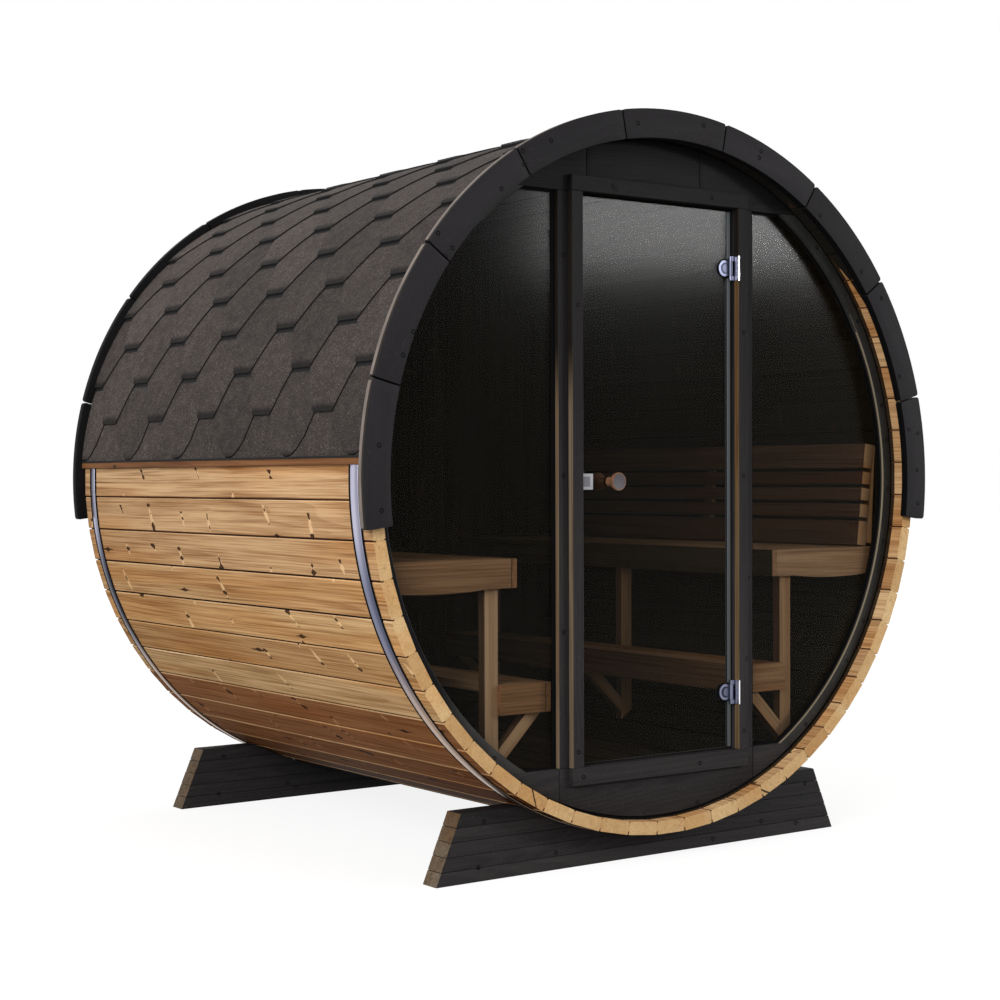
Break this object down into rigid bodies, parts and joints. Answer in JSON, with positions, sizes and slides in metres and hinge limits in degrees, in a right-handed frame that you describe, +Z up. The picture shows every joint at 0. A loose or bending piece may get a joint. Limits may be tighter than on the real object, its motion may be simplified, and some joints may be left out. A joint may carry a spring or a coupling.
{
  "type": "barrel sauna",
  "caption": "Round timber sauna cabin on two cradles, with a shingled roof, glazed front wall, hinged glass door and benches along both sides.",
  "frame": {"origin": "on the ground, under the middle of the barrel", "axes": "+X to the right when facing the door, +Y from the door to the back, +Z up"},
  "size_m": [2.126, 1.842, 2.1718],
  "materials": {
    "stave_wood": "bare planed softwood, oiled",
    "charcoal_wood": "charcoal stain",
    "roof_shingle": "granulated bitumen",
    "steel_band": "bright rolled strip",
    "batten_wood": "bare planed softwood, oiled",
    "bench_wood": "bare planed hardwood",
    "floor_wood": "bare planed softwood",
    "tinted_glass": "toughened, bronze tint",
    "hinge_chrome": "polished",
    "knob_wood": "turned, with a stained face",
    "catch_plate": "satin grey"
  },
  "bodies": {
    "cabin": {"door_head": "charcoal_wood", "door_jambs": "charcoal_wood", "door_sill": "charcoal_wood", "eave_battens": "batten_wood", "floor_boards": "floor_wood", "front_bottom_panel": "charcoal_wood", "front_cradle": "charcoal_wood", "front_fascia": "charcoal_wood", "front_ring": "charcoal_wood", "front_top_panel": "charcoal_wood", "hinge_leaves": "hinge_chrome", "left_backrest": "bench_wood", "left_bench_frames": "bench_wood", "left_lower_bench": "bench_wood", "left_upper_bench": "bench_wood", "left_window": "tinted_glass", "rear_cradle": "charcoal_wood", "rear_fascia": "charcoal_wood", "rear_wall": "charcoal_wood", "right_backrest": "bench_wood", "right_bench_frames": "bench_wood", "right_lower_bench": "bench_wood", "right_upper_bench": "bench_wood", "right_window": "tinted_glass", "roof_left": "roof_shingle", "roof_right": "roof_shingle", "staves_01": "stave_wood", "staves_02": "stave_wood", "staves_03": "stave_wood", "staves_04": "stave_wood", "staves_05": "stave_wood", "staves_06": "stave_wood", "staves_07": "stave_wood", "staves_08": "stave_wood", "staves_09": "stave_wood", "staves_10": "stave_wood", "staves_11": "stave_wood", "staves_12": "stave_wood", "steel_bands": "steel_band", "window_posts": "charcoal_wood"},
    "door": {"door_glass": "tinted_glass", "door_hinges": "hinge_chrome", "door_knobs": "knob_wood", "door_catch": "catch_plate"}
  },
  "joints": [
    {"name": "door_hinge", "type": "hinge", "parent": "cabin", "child": "door", "pos_m": [0.2835, -0.845, 1.109], "axis": [0, 0, 1], "range_deg": [0, 105]}
  ]
}
